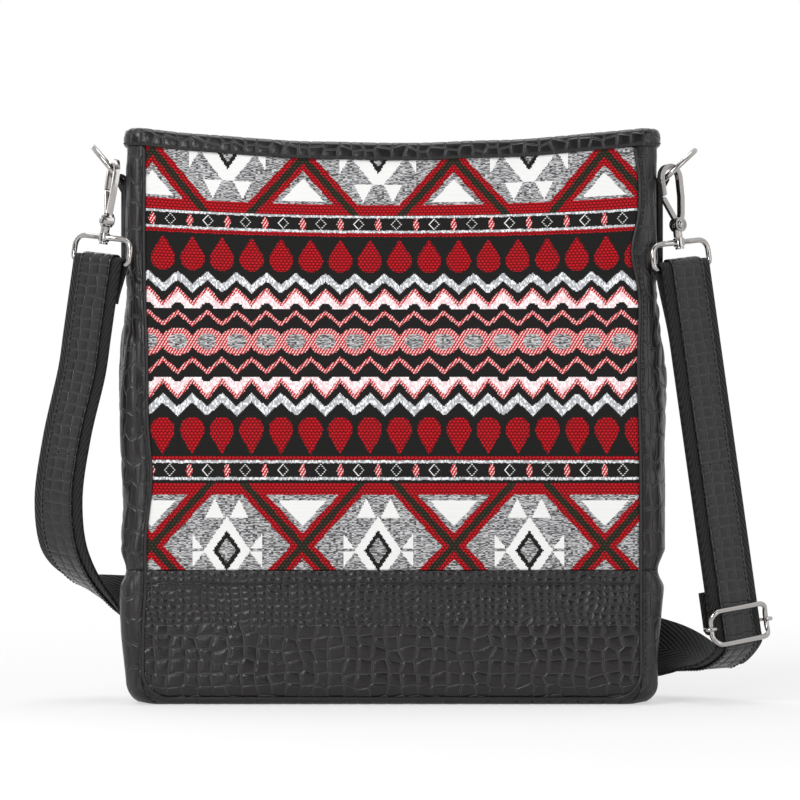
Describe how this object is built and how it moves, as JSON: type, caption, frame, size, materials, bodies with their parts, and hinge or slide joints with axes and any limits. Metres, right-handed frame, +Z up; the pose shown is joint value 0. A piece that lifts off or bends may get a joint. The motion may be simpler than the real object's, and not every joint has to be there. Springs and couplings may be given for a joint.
{
  "type": "crossbody bag",
  "caption": "Tall open-topped crossbody bag with a woven front, embossed leather base, gussets and back, and an adjustable webbing strap on two swivel hooks.",
  "frame": {"origin": "middle of the base, on the surface that the bag stands on", "axes": "+Z up, the woven front faces -Y, +X to the right seen from the front"},
  "size_m": [0.4473, 0.0962, 0.3469],
  "materials": {
    "textile": "jacquard weave in red, black, grey and white",
    "leather": "black, embossed with a reptile grain, semi gloss",
    "webbing": "black twill webbing",
    "lining": "plain weave",
    "metal": "polished nickel"
  },
  "bodies": {
    "bag": {"front_textile_panel": "textile", "front_base_panel": "leather", "right_gusset": "leather", "right_base_gusset": "leather", "back_panel": "leather", "back_base_panel": "leather", "left_gusset": "leather", "left_base_gusset": "leather", "bottom_panel": "leather", "lining": "lining", "rim_binding": "leather", "snap_front": "metal", "snap_back": "metal", "left_tab": "leather", "right_tab": "leather", "strap_webbing": "webbing", "strap_facing": "leather", "strap_return": "webbing"},
    "left_loop": {"left_loop": "metal", "left_strap_fold": "webbing", "left_fold_facing": "leather"},
    "left_ring": {"left_d_ring": "metal"},
    "left_hook": {"left_hook": "metal", "left_gate_pin": "metal"},
    "left_gate": {"left_gate": "metal"},
    "right_loop": {"right_loop": "metal", "right_strap_fold": "webbing", "right_fold_facing": "leather"},
    "right_ring": {"right_d_ring": "metal"},
    "right_hook": {"right_hook": "metal", "right_gate_pin": "metal"},
    "right_gate": {"right_gate": "metal"},
    "adjuster": {"adjuster_frame": "metal", "adjuster_bar": "metal"}
  },
  "joints": [
    {"name": "left_swing", "type": "hinge", "parent": "bag", "child": "left_loop", "pos_m": [-0.1641, 0, 0.316], "axis": [0, 1, 0], "range_deg": [0, 18]},
    {"name": "left_ring_turn", "type": "hinge", "parent": "bag", "child": "left_ring", "pos_m": [-0.1641, 0, 0.316], "axis": [0, 1, 0], "range_deg": [0, 18]},
    {"name": "left_swivel", "type": "hinge", "parent": "left_loop", "child": "left_hook", "pos_m": [-0.16823, -0.01669, 0.31974], "axis": [0.1392, 0, 0.9903], "range_deg": [-6, 6]},
    {"name": "left_gate_turn", "type": "hinge", "parent": "left_hook", "child": "left_gate", "pos_m": [-0.17178, -0.01782, 0.29146], "axis": [0.9305, 0.342, -0.1308], "range_deg": [0, 20], "stiffness_Nm_per_rad": 0.02, "springref_deg": -17.19},
    {"name": "right_swing", "type": "hinge", "parent": "bag", "child": "right_loop", "pos_m": [0.1641, 0, 0.316], "axis": [0, -1, 0], "range_deg": [0, 18]},
    {"name": "right_ring_turn", "type": "hinge", "parent": "bag", "child": "right_ring", "pos_m": [0.1641, 0, 0.316], "axis": [0, -1, 0], "range_deg": [0, 18]},
    {"name": "right_swivel", "type": "hinge", "parent": "right_loop", "child": "right_hook", "pos_m": [0.16774, -0.01494, 0.31681], "axis": [-0.1392, 0, 0.9903], "range_deg": [-6, 6]},
    {"name": "right_gate_turn", "type": "hinge", "parent": "right_hook", "child": "right_gate", "pos_m": [0.17264, -0.01421, 0.28871], "axis": [-0.6097, 0.788, -0.0857], "range_deg": [0, 20], "stiffness_Nm_per_rad": 0.02, "springref_deg": -17.19},
    {"name": "adjuster_slide", "type": "slide", "parent": "bag", "child": "adjuster", "axis": [-0.1392, 0, 0.9903], "range_m": [0, 0.05], "deforming": ["strap_return"]}
  ],
  "couplings": [
    {"joint": "left_ring_turn", "follows": "left_swing", "ratio": 1},
    {"joint": "right_ring_turn", "follows": "right_swing", "ratio": 1}
  ]
}
